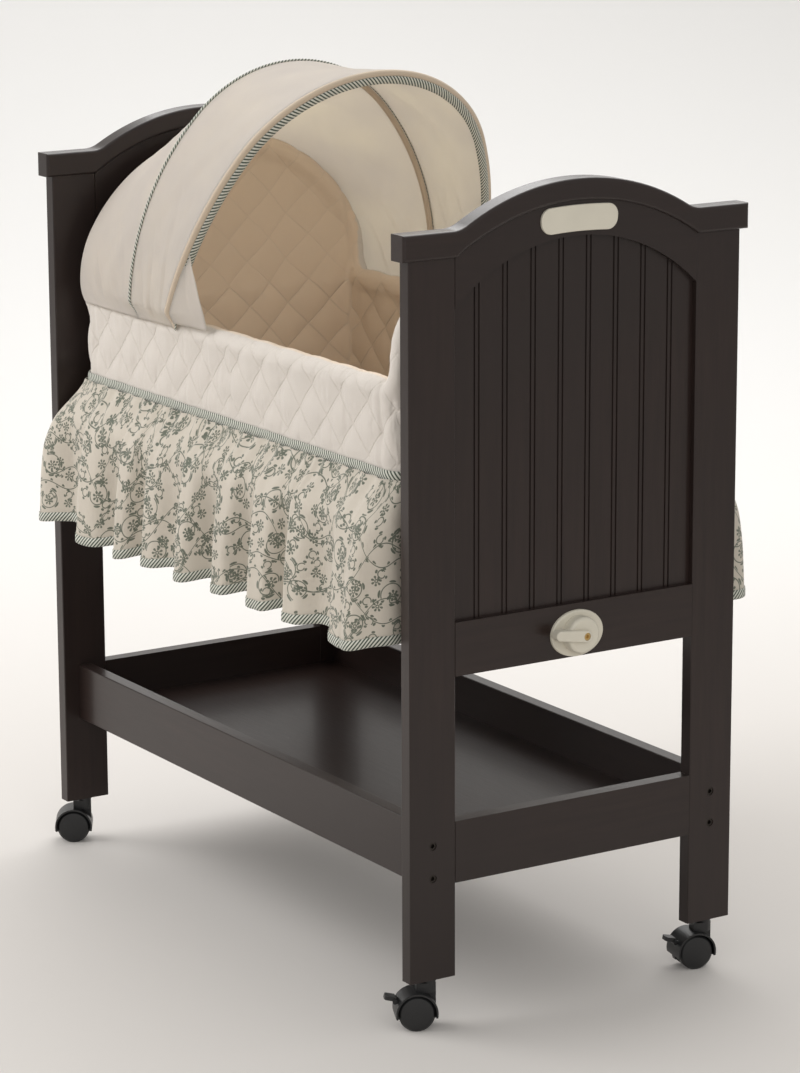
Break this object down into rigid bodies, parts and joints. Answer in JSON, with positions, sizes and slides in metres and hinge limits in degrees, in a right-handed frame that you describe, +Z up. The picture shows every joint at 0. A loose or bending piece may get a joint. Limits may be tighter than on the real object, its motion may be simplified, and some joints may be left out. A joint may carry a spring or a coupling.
{
  "type": "rocking bassinet",
  "caption": "Fabric basket that rocks in a wooden frame with arched panelled ends, a shelf, a folding canopy, a turn-knob lock and twin-wheel casters.",
  "frame": {"origin": "middle of the object's box, on the floor under the wheels", "axes": "+X towards the foot end with the knob, +Y to the left seen from the head end, +Z up"},
  "size_m": [0.9502, 0.539, 1.0898],
  "materials": {
    "espresso_wood": "satin lacquer",
    "cream_plastic": "satin",
    "zinc_steel": "zinc plated",
    "painted_tube": "powder coated",
    "brass": "satin",
    "base_board": "raw hardboard",
    "ivory_cloth": "woven cotton, quilted on the basket",
    "printed_cloth": "woven cotton with a sage vine print",
    "striped_cloth": "woven cotton, sage and white stripes",
    "mattress_cover": "quilted cotton",
    "black_plastic": "moulded"
  },
  "bodies": {
    "frame": {"post_foot_right": "espresso_wood", "post_foot_left": "espresso_wood", "post_head_right": "espresso_wood", "post_head_left": "espresso_wood", "crest_rail_foot": "espresso_wood", "crest_rail_head": "espresso_wood", "arch_rail_foot": "espresso_wood", "arch_rail_head": "espresso_wood", "bead_panel_foot": "espresso_wood", "bead_panel_head": "espresso_wood", "middle_rail_foot": "espresso_wood", "middle_rail_head": "espresso_wood", "lower_rail_foot": "espresso_wood", "lower_rail_head": "espresso_wood", "side_board_right": "espresso_wood", "side_board_left": "espresso_wood", "shelf_panel": "espresso_wood", "frame_bolts": "zinc_steel", "barrel_nuts": "zinc_steel", "name_plate": "cream_plastic", "lock_rose": "cream_plastic", "lock_flange": "zinc_steel", "pivot_brackets": "zinc_steel", "caster_sockets": "black_plastic", "caster_stems": "zinc_steel"},
    "knob": {"lock_knob": "cream_plastic", "lock_spindle": "zinc_steel", "lock_screw": "brass"},
    "latch": {"lock_latch": "zinc_steel"},
    "basket": {"rim_tube": "painted_tube", "hangers": "zinc_steel", "basket_shell": "ivory_cloth", "base_board": "base_board", "mattress": "mattress_cover", "skirt": "printed_cloth", "skirt_binding": "striped_cloth", "lock_keeper": "zinc_steel", "canopy_clips": "cream_plastic", "middle_hoop": "zinc_steel", "canopy_rear": "ivory_cloth", "canopy_front": "ivory_cloth"},
    "front_hoop": {"front_hoop": "zinc_steel"},
    "caster_foot_right": {"caster_hood_foot_right": "black_plastic", "caster_axle_foot_right": "zinc_steel"},
    "wheel_a_foot_right": {"wheel_a_foot_right": "black_plastic"},
    "wheel_b_foot_right": {"wheel_b_foot_right": "black_plastic"},
    "brake_foot_right": {"brake_lever_foot_right": "black_plastic"},
    "caster_foot_left": {"caster_hood_foot_left": "black_plastic", "caster_axle_foot_left": "zinc_steel"},
    "wheel_a_foot_left": {"wheel_a_foot_left": "black_plastic"},
    "wheel_b_foot_left": {"wheel_b_foot_left": "black_plastic"},
    "brake_foot_left": {"brake_lever_foot_left": "black_plastic"},
    "caster_head_right": {"caster_hood_head_right": "black_plastic", "caster_axle_head_right": "zinc_steel"},
    "wheel_a_head_right": {"wheel_a_head_right": "black_plastic"},
    "wheel_b_head_right": {"wheel_b_head_right": "black_plastic"},
    "caster_head_left": {"caster_hood_head_left": "black_plastic", "caster_axle_head_left": "zinc_steel"},
    "wheel_a_head_left": {"wheel_a_head_left": "black_plastic"},
    "wheel_b_head_left": {"wheel_b_head_left": "black_plastic"}
  },
  "joints": [
    {"name": "basket_swing", "type": "hinge", "parent": "frame", "child": "basket", "pos_m": [0.00382, 0, 0.95], "axis": [1, 0, 0], "range_deg": [-10, 10]},
    {"name": "lock_turn", "type": "hinge", "parent": "frame", "child": "knob", "pos_m": [0.46382, 0, 0.458], "axis": [1, 0, 0], "range_deg": [0, 90]},
    {"name": "latch_slide", "type": "slide", "parent": "frame", "child": "latch", "axis": [-1, 0, 0], "range_m": [0, 0.007]},
    {"name": "front_hoop_fold", "type": "hinge", "parent": "basket", "child": "front_hoop", "pos_m": [-0.12218, 0, 0.78], "axis": [0, 1, 0], "range_deg": [-40, 0], "deforming": ["canopy_front"]},
    {"name": "swivel_foot_right", "type": "hinge", "parent": "frame", "child": "caster_foot_right", "pos_m": [0.44133, -0.20325, 0.05], "axis": [0, 0, 1], "continuous": true},
    {"name": "roll_a_foot_right", "type": "hinge", "parent": "caster_foot_right", "child": "wheel_a_foot_right", "pos_m": [0.43456, -0.21775, 0.022], "axis": [0.9063, -0.4226, 0], "continuous": true},
    {"name": "roll_b_foot_right", "type": "hinge", "parent": "caster_foot_right", "child": "wheel_b_foot_right", "pos_m": [0.43456, -0.21775, 0.022], "axis": [0.9063, -0.4226, 0], "continuous": true},
    {"name": "brake_foot_right", "type": "hinge", "parent": "caster_foot_right", "child": "brake_foot_right", "pos_m": [0.42383, -0.24077, 0.03597], "axis": [0.9063, -0.4226, 0], "range_deg": [0, 15]},
    {"name": "swivel_foot_left", "type": "hinge", "parent": "frame", "child": "caster_foot_left", "pos_m": [0.44133, 0.20325, 0.05], "axis": [0, 0, 1], "continuous": true},
    {"name": "roll_a_foot_left", "type": "hinge", "parent": "caster_foot_left", "child": "wheel_a_foot_left", "pos_m": [0.438, 0.1876, 0.022], "axis": [0.9781, -0.2079, 0], "continuous": true},
    {"name": "roll_b_foot_left", "type": "hinge", "parent": "caster_foot_left", "child": "wheel_b_foot_left", "pos_m": [0.438, 0.1876, 0.022], "axis": [0.9781, -0.2079, 0], "continuous": true},
    {"name": "brake_foot_left", "type": "hinge", "parent": "caster_foot_left", "child": "brake_foot_left", "pos_m": [0.43272, 0.16276, 0.03597], "axis": [0.9781, -0.2079, 0], "range_deg": [0, 15]},
    {"name": "swivel_head_right", "type": "hinge", "parent": "frame", "child": "caster_head_right", "pos_m": [-0.43367, -0.20325, 0.05], "axis": [0, 0, 1], "continuous": true},
    {"name": "roll_a_head_right", "type": "hinge", "parent": "caster_head_right", "child": "wheel_a_head_right", "pos_m": [-0.44167, -0.21711, 0.022], "axis": [0.866, -0.5, 0], "continuous": true},
    {"name": "roll_b_head_right", "type": "hinge", "parent": "caster_head_right", "child": "wheel_b_head_right", "pos_m": [-0.44167, -0.21711, 0.022], "axis": [0.866, -0.5, 0], "continuous": true},
    {"name": "swivel_head_left", "type": "hinge", "parent": "frame", "child": "caster_head_left", "pos_m": [-0.43367, 0.20325, 0.05], "axis": [0, 0, 1], "continuous": true},
    {"name": "roll_a_head_left", "type": "hinge", "parent": "caster_head_left", "child": "wheel_a_head_left", "pos_m": [-0.44438, 0.19136, 0.022], "axis": [0.7431, -0.6691, 0], "continuous": true},
    {"name": "roll_b_head_left", "type": "hinge", "parent": "caster_head_left", "child": "wheel_b_head_left", "pos_m": [-0.44438, 0.19136, 0.022], "axis": [0.7431, -0.6691, 0], "continuous": true}
  ],
  "couplings": [
    {"joint": "latch_slide", "follows": "lock_turn", "m_per_rad": 0.004456}
  ]
}
